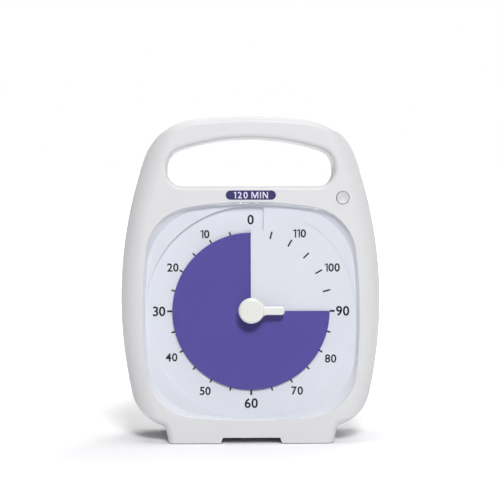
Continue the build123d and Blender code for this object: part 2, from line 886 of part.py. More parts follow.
def make_stator():
    """A laminated loop round the coil, with the rotor's hole in its right leg."""
    low, high = stator_low, stator_low + stator_thickness
    inner_left, inner_right = stator_left + 4.0, rotor_x - 5.0
    outer = block(stator_left, stator_right, coil_y - 2, stator_top, low, high)
    leg = block(inner_right, stator_right, coil_y - 2, rotor_y + 5.5, low, high)
    window = block(inner_left, inner_right, coil_y + core_half_width, stator_top - 4, low, high)
    below = block(inner_left, inner_right, coil_y - 4, coil_y - core_half_width, low, high)
    return outer + leg - window - below - rod(magnet_radius + magnet_gap, low, high, rotor_x, rotor_y)


def make_coil():
    """The winding on its bobbin, round the stator's core, with a lug for its two pins."""
    level = stator_low + stator_thickness / 2
    body = rod(coil_radius, -coil_half_length, coil_half_length)
    for side in (-1, 1):
        body = body + rod(coil_flange, side * coil_half_length - 0.5, side * coil_half_length + 0.5)
    core = Box(stator_thickness + 0.1, 2 * core_half_width + 0.1, far)
    lug_bottom, lug_top = level - coil_flange - 0.8, level - coil_radius
    lug = block(pin_x - 0.5, pin_x + 0.5, coil_y - 1.7, coil_y + 1.7, lug_bottom, lug_top)
    return Pos(coil_x, coil_y, level) * Rot(0, 90, 0) * (body - core) + lug


def coil_pin_places():
    return [(pin_x, coil_y - 0.9), (pin_x, coil_y + 0.9)]


def make_coil_pin(index):
    """A stiff pin from the coil to the circuit board."""
    top = stator_low + stator_thickness / 2 - coil_flange - 0.8
    return rod(pin_radius, board_front, top, *coil_pin_places()[index])


# Electronics


def make_circuit_board():
    board = slab(RectangleRounded(board_width, board_height, 2.0), board_rear, board_front)
    return board - [rod(small_screw_radius + small_bore_fit, -far, 0, x, y) for x, y in standoff_places()]


def make_control_chip():
    """The control chip, with a row of legs on two sides, on the board's back."""
    body = block(-12, -3, 0, 7, board_rear - 1.8, board_rear - 0.2)
    legs = [
        block(x - 0.2, x + 0.2, y - 0.9, y + 0.9, board_rear - 0.9, board_rear)
        for x in (-11.1, -9.3, -7.5, -5.7, -3.9)
        for y in (0.0, 7.0)
    ]
    return body + legs


def make_crystal():
    can = slab(SlotOverall(10.0, 4.0), board_rear - 3.4, board_rear)
    return Pos(9, 9, 0) * fillet(can.faces().sort_by(Axis.Z)[0].edges(), 0.5)


def make_capacitor(x):
    return rod(2.5, board_rear - 5.2, board_rear, x, -7.0)


def make_connector():
    left, right = connector_pins[0] - 2.5, connector_pins[-1] + 2.5
    body = block(left, right, connector_y - 3, connector_y + 3, board_rear - 4.6, board_rear)
    return body - [
        block(x - 0.7, x + 0.7, connector_y - 1.4, connector_y + 1.4, board_rear - 5, board_rear - 2.2)
        for x in connector_pins
    ]


# Push button and its switch

button_top = button_proud
button_back = -wall - button_gap
plunger_top = button_back - button_flange_thickness - button_stem
switch_front = plunger_top - button_travel - button_gap - switch_height
switch_post_reach = button_flange + switch_post_gap
switch_post_x = (button_x - switch_post_reach, button_x + switch_post_reach)


def make_push_button():
    cap = rod(button_radius, button_back, button_top)
    cap = fillet(cap.faces().sort_by(Axis.Z)[-1].edges(), 0.5)
    dish = Pos(0, 0, button_top + button_dish_radius - button_dish) * Sphere(button_dish_radius)
    flange = rod(button_flange, button_back - button_flange_thickness, button_back)
    stem = rod(switch_plunger_radius - button_stem_inset, plunger_top, button_back)
    return Pos(button_x, button_y) * (cap - dish + flange + stem)


def make_switch_plunger():
    return rod(switch_plunger_radius, plunger_top - switch_plunger_length, plunger_top, button_x, button_y)


def make_button_switch():
    half = switch_size / 2
    body = block(-half, half, -half, half, switch_front, switch_front + switch_height)
    body = body - rod(switch_plunger_radius + bearing_fit, switch_front + 0.4, far)
    return Pos(button_x, button_y) * body


def make_switch_board():
    board = RectangleRounded(switch_board_width, switch_board_height, 1.0)
    board = Pos(button_x, button_y) * slab(board, switch_front - board_thickness, switch_front)
    return board - [rod(small_screw_radius + small_bore_fit, -far, 0, x, button_y) for x in switch_post_x]


# Battery, its contacts and door, all in the back's frame

battery_z = bay_depth - seat_gap - battery_radius
battery_right = bay_half_length - contact_thickness - battery_nub_length - 0.05
battery_left = battery_right - battery_length
tab_end = bay_depth + bay_wall + tab_length


def make_battery():
    cell = rod(battery_radius, battery_left, battery_right)
    cell = fillet(cell.edges().filter_by(GeomType.CIRCLE), 0.6)
    nub = rod(battery_nub_radius, battery_right - 0.5, battery_right + battery_nub_length)
    return rear_place * Pos(0, bay_height, battery_z) * Rot(0, 90, 0) * (cell + nub)


def contact_plate():
    """The right-hand contact, with a tab through the bay's floor for its lead."""
    inner, outer = bay_half_length - contact_thickness, bay_half_length
    plate = block(
        inner, outer, bay_height - contact_half_width, bay_height + contact_half_width,
        door_thickness + 1, bay_depth,
    )
    tab = block(inner, outer, bay_height - contact_tab, bay_height + contact_tab, bay_depth, tab_end)
    return plate + tab


def make_battery_contact():
    return rear_place * contact_plate()


def make_battery_spring():
    """The left-hand contact with its cone spring against the cell."""
    reach = battery_left + bay_half_length - contact_thickness
    slope = degrees(atan2(spring_wide - spring_narrow, reach))
    rise = reach - 2 * spring_wire + 0.08
    line = Helix(rise / spring_turns, rise, spring_wide, cone_angle=-slope)
    wire = sweep(Plane(line @ 0, z_dir=line % 0) * RegularPolygon(spring_wire, 8), line, is_frenet=True)
    foot = Pos(-bay_half_length + contact_thickness + spring_wire - 0.1, bay_height, battery_z)
    return rear_place * (mirror(contact_plate(), Plane.YZ) + foot * Rot(0, 90, 0) * wire)


def make_battery_door():
    """A snap-in door that swings on two small pins along its lower edge."""
    panel = block(
        -door_half_length, door_half_length, bay_height - door_half_width, bay_height + door_half_width,
        0, door_thickness,
    )
    lower = [e for e in panel.edges().filter_by(Axis.X) if e.center().Y < bay_height]
    panel = fillet(lower, door_thickness / 2 - 0.01)
    scoop = Pos(0, bay_height + door_half_width, -3.2) * Rot(0, 90, 0) * rod(5.0, -7, 7)
    pin_y, pin_z = door_hinge()
    reach = door_half_length + door_pin_length
    pin = Pos(0, pin_y, pin_z) * Rot(0, 90, 0) * rod(door_pin_radius, -reach, reach)
    return rear_place * (panel - scoop + pin)


# Sounder and volume control, in the back's frame


def make_sounder():
    can = rod(sounder_radius, wall, wall + sounder_thickness, 0, sounder_height)
    return rear_place * fillet(can.faces().sort_by(Axis.Z)[-1].edges(), 0.6)


def volume_place():
    """The wheel's centre, with its axle downwards along local Z."""
    return rear_place * Pos(volume_x, volume_height, volume_radius - volume_proud) * Rot(90, 0, 0)


def make_volume_wheel():
    half = volume_thickness / 2
    wheel = rod(volume_radius, -half, half)
    groove = rod(0.45, -far, far, volume_radius + 0.1, 0)
    wheel = wheel - [Rot(0, 0, index * 360 / volume_ribs) * groove for index in range(volume_ribs)]
    shaft = rod(arbor_radius, half, half + pot_gap + pot_thickness * 0.7)
    return volume_place() * (wheel + shaft)


def make_volume_pot():
    """The variable resistor that the wheel turns, seated on the back wall."""
    top = volume_thickness / 2 + pot_gap
    back = volume_radius - volume_proud - wall
    body = block(-pot_size / 2, pot_size / 2, -back, pot_size - back, top, top + pot_thickness)
    return volume_place() * (body - rod(arbor_radius + bearing_fit, top - 1, top + pot_thickness * 0.8))


# Leads, as insulated wires that run round the movement and the board's edges


def rear_point(x, up, depth):
    """A point given in the back's frame."""
    return tuple((rear_place * Pos(x, up, depth)).position)


def make_battery_leads():
    solder, behind = board_rear - 2.3, board_rear - 6.8
    tab_x = bay_half_length - contact_thickness / 2
    minus_x, plus_x, y = connector_pins[0], connector_pins[-1], connector_y
    lower_y = connector_y - 9.0
    left = [
        rear_point(-tab_x, bay_height, tab_end),
        rear_point(-tab_x, bay_height, tab_end + lead_end),
        (0.5 - lead_edge, -28.0, -19.0),
        (-lead_edge, y, -24.0),
        (-lead_edge, y, behind),
        (minus_x, y, behind),
        (minus_x, y, solder),
    ]
    right = [
        rear_point(tab_x, bay_height, tab_end),
        rear_point(tab_x, bay_height, tab_end + lead_end),
        (lead_edge - 0.5, -28.0, -19.0),
        (lead_edge, lower_y, -24.0),
        (lead_edge, lower_y, behind),
        (plus_x, lower_y, behind),
        (plus_x, y, behind),
        (plus_x, y, solder),
    ]
    return {"battery_lead_minus": lead(left), "battery_lead_plus": lead(right)}


def sounder_lead(x):
    face, up = wall + sounder_thickness, sounder_height - sounder_lead_drop
    return lead(
        [
            rear_point(x, up, face),
            rear_point(x, up, face + 2.5),
            (x, 27.5, -26.5),
            (x, 24.5, board_lead_level),
            (x, 19.0, board_lead_level),
            (x, 19.0, board_rear),
        ]
    )


def make_switch_leads():
    back = switch_front - board_thickness
    x, y = button_x - switch_pin, button_y - switch_pin
    low, high = 12.0, 12.0 + lead_spread
    first = [
        (x, y, back),
        (x, y, back - lead_end),
        (40.0, 47.0, -14.5),
        (38.2, 25.0, -14.5),
        (lead_edge, low, -22.0),
        (lead_edge, low, board_lead_level),
        (26.0, low, board_lead_level),
        (26.0, low, board_rear),
    ]
    x = x + lead_spread
    outer, level = lead_edge + 1.9, board_lead_level - 1.6
    second = [
        (x, y, back),
        (x, y, back - lead_end - 1.5),
        (41.8, 47.0, -16.4),
        (40.0, 25.0, -16.4),
        (outer, high, -22.0),
        (outer, high, level),
        (24.0, high, level),
        (24.0, high, board_rear),
    ]
    return {"switch_lead_left": lead(first), "switch_lead_right": lead(second)}


def make_volume_leads():
    side, up = volume_x - pot_size / 2, volume_height - 4.3
    pad_x, pad_y = 27.5, 18.0
    x, y, z = rear_point(side, up, 9.0)
    upper = [
        (x, y, z),
        (x - 3.0, y, z),
        (lead_edge, pad_y, -31.0),
        (pad_x, pad_y, -31.5),
        (pad_x, pad_y, board_rear),
    ]
    x, y, z = rear_point(side, up, 5.0)
    pad_y = pad_y + 2.8
    lower = [
        (x, y, z),
        (x - 3.5, y, z),
        (lead_edge - 2.5, pad_y + 1.2, -33.4),
        (pad_x, pad_y, -33.4),
        (pad_x, pad_y, board_rear),
    ]
    return {"volume_lead_front": lead(upper), "volume_lead_rear": lead(lower)}


# Screws


def make_housing_screws():
    seat = parting - screw_web
    length = screw_web + screw_grip - 0.5
    return [
        screw(x, y, seat, screw_radius, screw_head_radius, screw_head_height, length, -1)
        for x, y in screw_places()
    ]


def small_screw(x, y, level, length):
    """A small screw driven from behind, its head against the given level."""
    return screw(x, y, level, small_screw_radius, small_head_radius, small_head_height, length, -1)


def make_movement_screws():
    level, length = case_front - ear_thickness, ear_thickness + ear_screw_grip - 0.1
    return [small_screw(x, y, level, length) for x, y in ear_places()]


def make_board_screws():
    length = board_thickness + small_screw_grip - 0.3
    return [small_screw(x, y, board_rear, length) for x, y in standoff_places()]


def make_switch_screws():
    level, length = switch_front - board_thickness, board_thickness + small_screw_grip - 0.3
    return [small_screw(x, button_y, level, length) for x in switch_post_x]


parts = {
    "front_housing": make_front_housing(),
    "rear_housing": make_rear_housing(),
    "housing_screws": make_housing_screws(),
    "front_left_pad": pad(-1, -1),
    "front_right_pad": pad(1, -1),
    "rear_left_pad": pad(-1, 1),
    "rear_right_pad": pad(1, 1),
    "range_label": make_label(),
    "lens": make_lens(),
    "dial_plate": make_dial_plate(),
    "colour_disc": make_colour_disc(),
    "disc_hub": make_disc_hub(),
    "set_knob": make_set_knob(),
    "arbor": make_arbor(),
    "clutch_spring": make_clutch_spring(),
    "centre_wheel": make_centre_wheel(),
    "intermediate_wheel": make_train_wheel(),
    "rotor_pinion": make_rotor(),
    "rotor_magnet": make_rotor_magnet(),
    "stator": make_stator(),
    "coil": make_coil(),
    "coil_pin_lower": make_coil_pin(0),
    "coil_pin_upper": make_coil_pin(1),
    "movement_front_case": make_movement_front(),
    "movement_rear_case": make_movement_rear(),
    "movement_screws": make_movement_screws(),
    "circuit_board": make_circuit_board(),
    "board_screws": make_board_screws(),
    "control_chip": make_control_chip(),
    "crystal": make_crystal(),
    "capacitor_left": make_capacitor(6.0),
    "capacitor_right": make_capacitor(12.5),
    "board_connector": make_connector(),
    "push_button": make_push_button(),
    "switch_plunger": make_switch_plunger(),
    "button_switch": make_button_switch(),
    "switch_board": make_switch_board(),
    "switch_screws": make_switch_screws(),
    "battery": make_battery(),
    "battery_contact": make_battery_contact(),
    "battery_spring": make_battery_spring(),
    "battery_door": make_battery_door(),
    "sounder": make_sounder(),
    "volume_wheel": make_volume_wheel(),
    "volume_resistor": make_volume_pot(),
    "sounder_lead_left": sounder_lead(-3.0),
    "sounder_lead_right": sounder_lead(3.0),
    **make_battery_leads(),
    **make_switch_leads(),
    **make_volume_leads(),
}

for name, made in parts.items():
    pieces = made if isinstance(made, list) else [made]
    placed = [dial_place * solid for piece in pieces for solid in piece.solids()]
    export_step(placed[0] if len(placed) == 1 else Compound(children=placed), f"parts/{name}.step")
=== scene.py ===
import json
from math import cos, radians, sin, tau

import bmesh
import bpy
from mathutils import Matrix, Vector
from mathutils.bvhtree import BVHTree

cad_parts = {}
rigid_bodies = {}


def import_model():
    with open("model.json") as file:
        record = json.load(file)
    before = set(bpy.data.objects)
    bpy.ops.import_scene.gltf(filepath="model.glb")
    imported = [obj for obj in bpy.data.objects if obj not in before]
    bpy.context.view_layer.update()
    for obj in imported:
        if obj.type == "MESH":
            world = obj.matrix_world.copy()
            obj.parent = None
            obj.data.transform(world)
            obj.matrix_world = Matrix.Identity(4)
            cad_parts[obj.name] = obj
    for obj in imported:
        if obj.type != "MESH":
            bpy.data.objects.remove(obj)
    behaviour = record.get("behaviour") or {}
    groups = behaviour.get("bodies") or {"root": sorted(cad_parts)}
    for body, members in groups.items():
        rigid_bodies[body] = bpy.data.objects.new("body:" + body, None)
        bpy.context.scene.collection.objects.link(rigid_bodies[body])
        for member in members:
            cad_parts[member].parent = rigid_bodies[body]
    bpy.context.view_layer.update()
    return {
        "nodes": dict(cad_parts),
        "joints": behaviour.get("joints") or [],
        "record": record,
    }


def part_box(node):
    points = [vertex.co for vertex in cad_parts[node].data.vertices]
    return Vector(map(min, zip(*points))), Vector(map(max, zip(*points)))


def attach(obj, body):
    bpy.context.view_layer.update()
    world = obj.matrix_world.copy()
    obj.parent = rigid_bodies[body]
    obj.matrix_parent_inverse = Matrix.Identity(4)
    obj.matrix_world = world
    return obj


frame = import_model()
nodes = frame["nodes"]
mm = 0.001  # the scene is in metres, sizes below are in millimetres
for leftover in [o for o in bpy.data.objects if o.name in ("Cube", "Light", "Camera")]:
    bpy.data.objects.remove(leftover)
print("frame loaded with", len(nodes), "nodes")

# The dial's own axes, read from the joint that the knob turns on
knobJoint = next(joint for joint in frame["joints"] if joint["name"] == "timer_set")
dialCentre = Vector(knobJoint["pos_m"])
outwards = Vector(knobJoint["axis"]).normalized()
rightwards = Vector((1, 0, 0))
upwards = outwards.cross(rightwards)


def onDial(x, y, out=0.0):  # the point x right of, y above and out in front of the dial's centre, in mm
    return dialCentre + (rightwards * x + upwards * y + outwards * out) * mm


def fromHex(hexColour):  # an sRGB hex colour as the linear colour that the shaders take
    parts = [int(hexColour[i : i + 2], 16) / 255 for i in (1, 3, 5)]
    return tuple(c / 12.92 if c <= 0.04045 else ((c + 0.055) / 1.055) ** 2.4 for c in parts) + (1.0,)


def addNode(tree, kind, inputs=None, **settings):  # an input that is given a socket is linked to it
    node = tree.nodes.new(kind)
    for name, value in settings.items():
        setattr(node, name, value)
    for socket, value in (inputs or {}).items():
        if isinstance(value, bpy.types.NodeSocket):
            tree.links.new(value, node.inputs[socket])
        else:
            node.inputs[socket].default_value = value
    return node


# Camera

cameraSetup = {
    "distance": 1.10,  # metres from the aim point
    "azimuth": -1.5,  # degrees round the object, from straight in front
    "elevation": 4.3,  # degrees above the horizon
    "aim": (-0.0002, 0.0, 0.1018),
    "lens": 146.2,  # millimetres on a 36 mm sensor
}


def makeCamera(setup):
    cameraData = bpy.data.cameras.new("camera")
    cameraData.lens = setup["lens"]
    cameraData.sensor_width = 36
    camera = bpy.data.objects.new("camera", cameraData)
    bpy.context.scene.collection.objects.link(camera)
    turn, rise = radians(setup["azimuth"]), radians(setup["elevation"])
    back = Vector((sin(turn) * cos(rise), -cos(turn) * cos(rise), sin(rise)))
    camera.location = Vector(setup["aim"]) + back * setup["distance"]
    camera.rotation_euler = back.to_track_quat("Z", "Y").to_euler()
    bpy.context.scene.camera = camera


makeCamera(cameraSetup)
print("camera set")


# Materials


def startMaterial(name, look):  # plain values go straight onto the shader's own sockets
    material = bpy.data.materials.new(name)
    material.use_nodes = True
    tree = material.node_tree
    shader = tree.nodes["Principled BSDF"]
    shader.inputs["Base Color"].default_value = fromHex(look["colour"])
    for socket, value in look.get("shader", {}).items():
        shader.inputs[socket].default_value = value
    places = addNode(tree, "ShaderNodeTexCoord").outputs["Object"]
    return material, tree, shader, places


def addGrain(tree, shader, places, look):  # fine relief all over the surface
    scale = 1 / (look["grain"] * mm)
    grain = addNode(tree, "ShaderNodeTexNoise", {"Vector": places, "Scale": scale, "Detail": 2.0})
    relief = addNode(
        tree, "ShaderNodeBump", {"Height": grain.outputs["Fac"], "Distance": look["grainDepth"] * mm}
    )
    tree.links.new(relief.outputs["Normal"], shader.inputs["Normal"])


def addDrift(tree, shader, places, look):  # colour and gloss that wander slowly, in soft patches
    scale = 1 / (look["patch"] * mm)
    noise = addNode(tree, "ShaderNodeTexNoise", {"Vector": places, "Scale": scale, "Detail": 3.0})
    drift = noise.outputs["Fac"]
    colours = {0: drift, 6: fromHex(look["colour"]), 7: fromHex(look["drift"])}
    tint = addNode(tree, "ShaderNodeMix", colours, data_type="RGBA")
    tree.links.new(tint.outputs[2], shader.inputs["Base Color"])
    low, high = look["gloss"]
    gloss = addNode(tree, "ShaderNodeMapRange", {"Value": drift, "To Min": low, "To Max": high})
    tree.links.new(gloss.outputs["Result"], shader.inputs["Roughness"])


def plasticMaterial(name, look):  # a mould's or roller's grain, and a faint drift from uneven cooling
    material, tree, shader, places = startMaterial(name, look)
    addGrain(tree, shader, places, look)
    addDrift(tree, shader, places, look)
    return material


housingLook = {  # ABS from a spark-eroded mould: a soft satin sheen
    "colour": "#DDDDDE", "drift": "#DADADB", "patch": 30, "gloss": (0.40, 0.48),
    "grain": 0.45, "grainDepth": 0.004,  # real grain is about 0.2 mm, drawn coarser so that it shows
    "shader": {"IOR": 1.53},
}
buttonLook = {  # ABS from a finer mould, glossier than the housing round it; its colour is the housing's white drawn a shade darker, as painted shade that keeps the glossy face from reading brighter
    "colour": "#CFD0D1", "drift": "#CCCDCE", "patch": 6, "gloss": (0.30, 0.36),
    "grain": 0.8, "grainDepth": 0.001,
    "shader": {"IOR": 1.53},
}
knobLook = {  # high-impact polystyrene, polished: bright white with a clear highlight
    "colour": "#EDEDE8", "drift": "#EAEAE5", "patch": 8, "gloss": (0.14, 0.20),
    "grain": 0.8, "grainDepth": 0.001,
    "shader": {"IOR": 1.59},
}
dialLook = {  # printed polystyrene sheet, cool white and quite matt
    "colour": "#E6E9F0", "drift": "#E3E6ED", "patch": 18, "gloss": (0.52, 0.62),
    "grain": 0.3, "grainDepth": 0.002,
    "shader": {"IOR": 1.59},
}
gearLook = {  # acetal gears: creamy and waxy
    "colour": "#E8E4D6", "drift": "#DED9C6", "patch": 3, "gloss": (0.30, 0.38),
    "grain": 0.15, "grainDepth": 0.001,
    "shader": {"IOR": 1.48, "Subsurface Weight": 0.15, "Subsurface Scale": 0.0006},
}
caseLook = {  # glass-filled nylon movement case: near black with a dry, streaky surface
    "colour": "#26262A", "drift": "#303035", "patch": 5, "gloss": (0.42, 0.6),
    "grain": 0.2, "grainDepth": 0.006,
    "shader": {"IOR": 1.53},
}
connectorLook = {  # nylon connector shell: ivory and slightly translucent
    "colour": "#E9E2CF", "drift": "#DDD4BD", "patch": 3, "gloss": (0.35, 0.45),
    "grain": 0.2, "grainDepth": 0.002,
    "shader": {"IOR": 1.53, "Subsurface Weight": 0.1, "Subsurface Scale": 0.0005},
}
chipLook = {  # filled epoxy of a chip's body: charcoal, gritty
    "colour": "#2A2A2C", "drift": "#353537", "patch": 1.5, "gloss": (0.55, 0.7),
    "grain": 0.12, "grainDepth": 0.006,
    "shader": {"IOR": 1.55},
}
padLook = {  # thermoplastic rubber: grey, matt and a little dusty
    "colour": "#A3A5A8", "drift": "#B0B2B4", "patch": 4, "gloss": (0.72, 0.85),
    "grain": 0.25, "grainDepth": 0.01,
    "shader": {"IOR": 1.50},
}
sleeveLook = {  # shrunk PVC sleeve: smooth and shiny, dark blue
    "colour": "#22304F", "drift": "#2A3A5C", "patch": 3, "gloss": (0.22, 0.32),
    "grain": 0.5, "grainDepth": 0.003,
    "shader": {"IOR": 1.54},
}
redLeadLook = {  # extruded PVC insulation, red
    "colour": "#B3222A", "drift": "#A51D25", "patch": 2, "gloss": (0.28, 0.38),
    "grain": 0.4, "grainDepth": 0.004,
    "shader": {"IOR": 1.54},
}
blackLeadLook = dict(redLeadLook, colour="#1B1B1D", drift="#242427")  # the same insulation, black
discLook = {  # matt polypropylene film: flat, saturated purple without a highlight
    "colour": "#544A9C", "drift": "#504698", "patch": 25, "gloss": (0.60, 0.70),
    "grain": 0.35, "grainDepth": 0.003,
    "shader": {"IOR": 1.49, "Specular IOR Level": 0.3},
}
labelLook = {  # printed polyester label: deep violet under a clear varnish
    "colour": "#2E2562", "drift": "#2A215C", "patch": 5, "gloss": (0.30, 0.38),
    "grain": 0.3, "grainDepth": 0.002,
    "shader": {"IOR": 1.57, "Specular IOR Level": 0.35},
}
inkLook = {  # screen-printed ink: near black with a hint of navy, a little glossier than the sheet
    "colour": "#07060F", "drift": "#0D0C18", "patch": 0.6, "gloss": (0.38, 0.52),
    "grain": 0.12, "grainDepth": 0.004,
    "shader": {"IOR": 1.50, "Specular IOR Level": 0.2},
}
paleInkLook = dict(inkLook, colour="#E6E2F6", drift="#DEDAF0")  # the label's letters, pale lavender


waveTurn = 20  # how far, in radians, the wave texture runs over one unit at a scale of one


def metalMaterial(name, look):  # fine marks in one direction, with gloss that follows them
    material, tree, shader, places = startMaterial(name, look)
    scale = tau / waveTurn / (look["marks"] * mm)
    wave = addNode(
        tree, "ShaderNodeTexWave", {"Vector": places, "Scale": scale, "Distortion": 4.0, "Detail": 3.0},
        wave_type="BANDS", bands_direction=look["across"],
    )
    marks = wave.outputs["Fac"]
    relief = addNode(tree, "ShaderNodeBump", {"Height": marks, "Distance": look["marksDepth"] * mm})
    low, high = look["gloss"]
    gloss = addNode(tree, "ShaderNodeMapRange", {"Value": marks, "To Min": low, "To Max": high})
    tree.links.new(relief.outputs["Normal"], shader.inputs["Normal"])
    tree.links.new(gloss.outputs["Result"], shader.inputs["Roughness"])
    return material


steelLook = {  # zinc-plated turned steel: cool grey with fine lathe rings
    "colour": "#B9BDC2", "marks": 0.296, "marksDepth": 0.001, "across": "Y", "gloss": (0.22, 0.34),
    "shader": {"Metallic": 1.0},
}
tinLook = {  # nickel-plated spring steel: brighter and smoother, drawn along its length
    "colour": "#CBC8C0", "marks": 0.395, "marksDepth": 0.0006, "across": "Z", "gloss": (0.16, 0.26),
    "shader": {"Metallic": 1.0},
}
magnetLook = {  # sintered ferrite: dark grey, dull and grainy rather than shiny
    "colour": "#4A4B50", "marks": 0.592, "marksDepth": 0.004, "across": "Y", "gloss": (0.45, 0.6),
    "shader": {"Metallic": 0.6},
}
copperLook = {  # enamelled copper wire, wound in rings along the coil
    "colour": "#B4623A", "marks": 0.237, "marksDepth": 0.05, "across": "X", "gloss": (0.24, 0.34),
    "shader": {"Metallic": 1.0, "Coat Weight": 0.5, "Coat Roughness": 0.1},
}


def boardMaterial(name, look):  # glass fibre under green lacquer: the weave shows as shallow squares
    material, tree, shader, places = startMaterial(name, look)
    squares = {
        "Vector": places, "Scale": 1 / (look["weave"] * mm), "Mortar Size": look["gapShare"],
        "Brick Width": 1.0, "Row Height": 1.0, "Mortar": fromHex(look["gaps"]),
        "Color1": fromHex(look["colour"]), "Color2": fromHex(look["drift"]),
    }
    weave = addNode(tree, "ShaderNodeTexBrick", squares, offset=0.5)
    relief = addNode(
        tree, "ShaderNodeBump", {"Height": weave.outputs["Fac"], "Distance": look["weaveDepth"] * mm}
    )
    tree.links.new(weave.outputs["Color"], shader.inputs["Base Color"])
    tree.links.new(relief.outputs["Normal"], shader.inputs["Normal"])
    return material


boardLook = {  # pressed glass-fibre laminate: green and shiny, with a faint square weave
    "colour": "#1F6B43", "drift": "#22734A", "gaps": "#1A5C39",
    "weave": 0.5, "weaveDepth": 0.01, "gapShare": 0.12,
    "shader": {"Roughness": 0.3, "IOR": 1.55, "Coat Weight": 0.4, "Coat Roughness": 0.12},
}


def lensMaterial(name, look):  # clear acrylic; the light that falls through it goes straight on
    material, tree, shader, places = startMaterial(name, look)
    addGrain(tree, shader, places, look)
    straightThrough = addNode(tree, "ShaderNodeBsdfTransparent", {"Color": fromHex(look["shade"])})
    path = addNode(tree, "ShaderNodeLightPath").outputs
    lighting = addNode(
        tree, "ShaderNodeMath", {0: path["Is Shadow Ray"], 1: path["Is Diffuse Ray"]}, operation="MAXIMUM"
    )
    both = addNode(
        tree, "ShaderNodeMixShader",
        {0: lighting.outputs["Value"], 1: shader.outputs["BSDF"], 2: straightThrough.outputs["BSDF"]},
    )
    tree.links.new(both.outputs["Shader"], tree.nodes["Material Output"].inputs["Surface"])
    return material


lensLook = {  # injection-moulded acrylic: water-clear, with a very slow ripple in its polish
    "colour": "#FFFFFF", "shade": "#FBFBFC", "grain": 25, "grainDepth": 0.01,
    "shader": {"Roughness": 0.0, "IOR": 1.49, "Transmission Weight": 1.0},
}


def cellMaterial(name, look):  # a printed sleeve, with bare steel beyond its two ends
    material, tree, shader, places = startMaterial(name, look)
    addGrain(tree, shader, places, look)
    low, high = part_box("battery")
    middle = (low.x + high.x) / 2
    reach = look["sleeveLength"] / 2 * mm
    along = addNode(tree, "ShaderNodeSeparateXYZ", {"Vector": places}).outputs["X"]
    offset = addNode(tree, "ShaderNodeMath", {0: along, 1: middle}, operation="SUBTRACT").outputs[0]
    distance = addNode(tree, "ShaderNodeMath", {0: offset}, operation="ABSOLUTE").outputs[0]
    bare = addNode(tree, "ShaderNodeMath", {0: distance, 1: reach}, operation="GREATER_THAN").outputs[0]
    colours = {0: bare, 6: fromHex(look["colour"]), 7: fromHex(look["steel"])}
    tint = addNode(tree, "ShaderNodeMix", colours, data_type="RGBA")
    tree.links.new(tint.outputs[2], shader.inputs["Base Color"])
    tree.links.new(bare, shader.inputs["Metallic"])
    return material


cellLook = {  # printed sleeve, grey and glossy, on a drawn steel can
    "colour": "#5B6770", "steel": "#C9CACB", "sleeveLength": 47.5, "grain": 0.4, "grainDepth": 0.002,
    "shader": {"Roughness": 0.3, "IOR": 1.5},
}

finishes = {
    "housing_plastic": plasticMaterial("satinAbs", housingLook),
    "button_plastic": plasticMaterial("polishedAbs", buttonLook),
    "knob_plastic": plasticMaterial("polishedPolystyrene", knobLook),
    "clear_plastic": lensMaterial("clearAcrylic", lensLook),
    "dial_plastic": plasticMaterial("printedPolystyrene", dialLook),
    "disc_film": plasticMaterial("mattPolypropyleneFilm", discLook),
    "label_film": plasticMaterial("varnishedPolyesterLabel", labelLook),
    "pad_rubber": plasticMaterial("mouldedRubber", padLook),
    "gear_plastic": plasticMaterial("mouldedAcetal", gearLook),
    "case_plastic": plasticMaterial("glassFilledNylon", caseLook),
    "steel": metalMaterial("turnedSteel", steelLook),
    "magnet": metalMaterial("sinteredFerrite", magnetLook),
    "copper": metalMaterial("woundCopper", copperLook),
    "tin_plate": metalMaterial("platedSpringSteel", tinLook),
    "board_laminate": boardMaterial("lacqueredFibreBoard", boardLook),
    "chip_plastic": plasticMaterial("filledEpoxy", chipLook),
    "capacitor_sleeve": plasticMaterial("shrunkSleeve", sleeveLook),
    "connector_plastic": plasticMaterial("ivoryNylon", connectorLook),
    "battery_steel": cellMaterial("sleevedCell", cellLook),
    "lead_red": plasticMaterial("redPvc", redLeadLook),
    "lead_black": plasticMaterial("blackPvc", blackLeadLook),
}
for subpart in frame["record"]["subparts"]:
    mesh = nodes[subpart["node"]].data
    mesh.materials.clear()
    mesh.materials.append(finishes[subpart["material_slot"]])
print("materials made:", len(finishes))


# Printed scale, laid on the dial plate


def treeOf(node):
    mesh = nodes[node].data
    return BVHTree.FromPolygons([v.co for v in mesh.vertices], [p.vertices for p in mesh.polygons])


def layPrint(name, shape, surface, start, look, material):  # drops a flat drawing onto a surface
    for vertex in shape.verts:
        faces = vertex.link_faces
        inside = sum((face.calc_center_median() for face in faces), Vector()) / len(faces)
        probe = vertex.co + (inside - vertex.co).normalized() * look["inwards"]
        hit = surface.ray_cast(onDial(probe.x, probe.y, start), -outwards)[0]
        level = (hit - dialCentre).dot(outwards) / mm + look["proud"]
        vertex.co = onDial(vertex.co.x, vertex.co.y, level)
    mesh = bpy.data.meshes.new(name)
    shape.to_mesh(mesh)
    shape.free()
    mesh.materials.append(material)
    piece = bpy.data.objects.new(name, mesh)
    bpy.context.scene.collection.objects.link(piece)
    skin = piece.modifiers.new("inkThickness", "SOLIDIFY")
    skin.thickness = (look["proud"] + look["sunk"]) * mm
    skin.offset = -1
    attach(piece, "housing")
    return piece


inkLayer = {
    "proud": 0.03, "sunk": 0.02,  # above and below the sheet's surface
    "inwards": 0.01,  # a corner takes its level from just inside the figure, on its side of the slit
}
ink = plasticMaterial("screenPrintedInk", inkLook)
paleInk = plasticMaterial("paleScreenPrintedInk", paleInkLook)

ticks = {
    "every": 15,  # degrees, which is five minutes
    "inner": 40.0, "outer": 44.2, "width": 0.86,
    "quarterInner": 42.3, "quarterOuter": 45.0, "quarterWidth": 1.05,  # at each half hour
}


